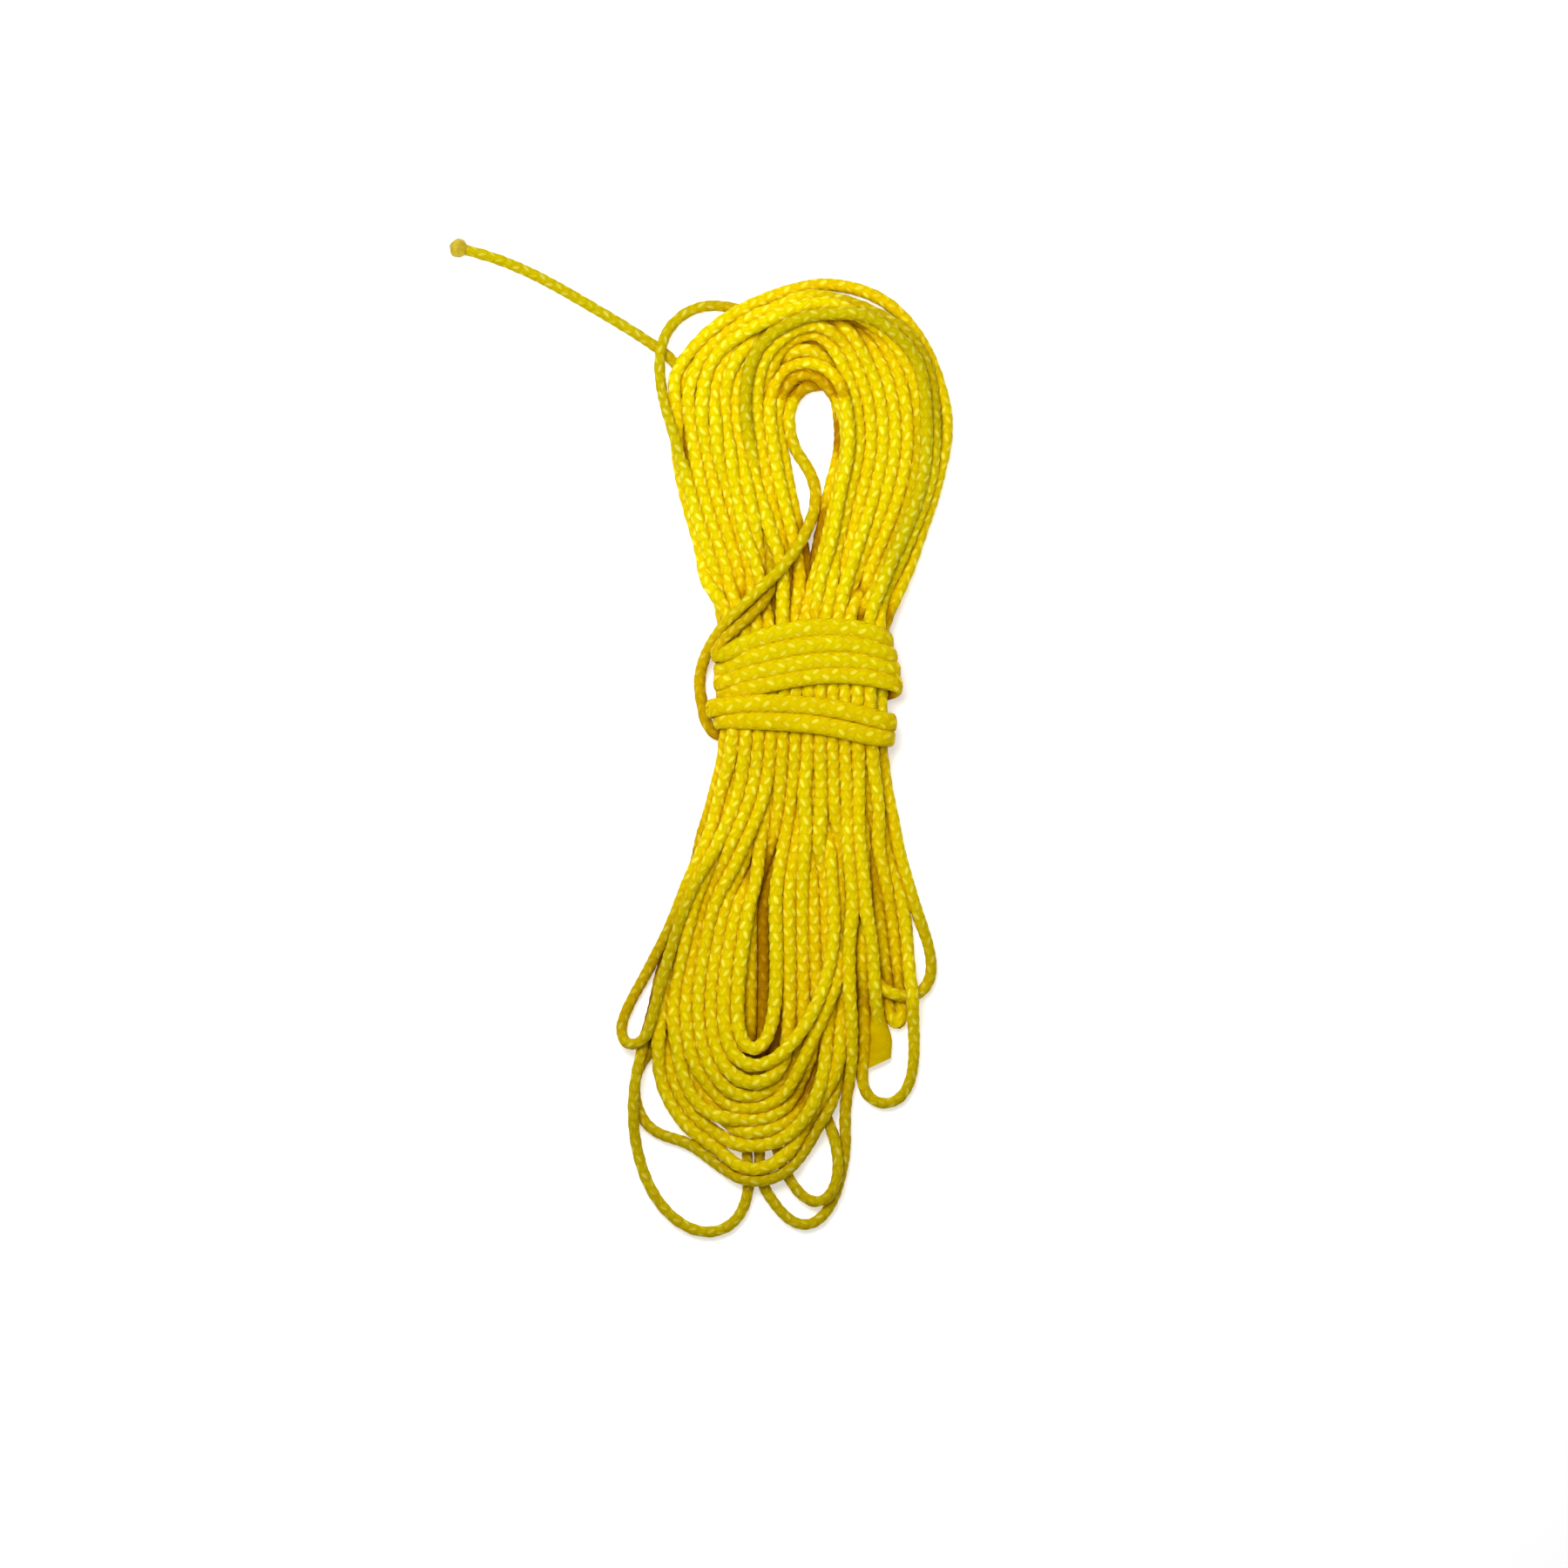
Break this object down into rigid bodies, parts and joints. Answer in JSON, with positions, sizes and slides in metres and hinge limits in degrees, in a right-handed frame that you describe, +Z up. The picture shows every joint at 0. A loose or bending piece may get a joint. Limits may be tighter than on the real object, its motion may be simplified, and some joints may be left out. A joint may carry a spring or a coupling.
{
  "type": "hank of braided line",
  "caption": "Hank of braided line lying flat: a bundle of turns pinched by two bands of binding turns, with an eye at one end, stray loops at the other and a free tail.",
  "frame": {"origin": "middle of the whole hank's box, on the flat surface it lies on", "axes": "+Y along the hank towards the eye, +X to the right seen from above, +Z up from the surface it lies on"},
  "size_m": [0.0719, 0.1437, 0.009],
  "materials": {
    "line": "silky braided filament",
    "line_taut": "silky braided filament, pulled tight",
    "melted_end": "melted and set, slightly glossy"
  },
  "bodies": {
    "root": {"upper_loops_left": "line", "upper_loops_crown": "line", "upper_loops_right": "line", "waist_turns": "line", "lower_loops": "line", "upper_binding": "line_taut", "lower_binding": "line_taut", "tie_strand": "line_taut", "ear_loop": "line", "free_tail": "line", "sealed_end": "melted_end", "cut_end": "line", "right_side_loop": "line", "right_lower_loop": "line", "left_side_loop": "line", "left_lower_loop": "line", "bottom_left_loop": "line", "bottom_right_loop": "line", "bottom_inner_loop": "line"}
  },
  "joints": []
}
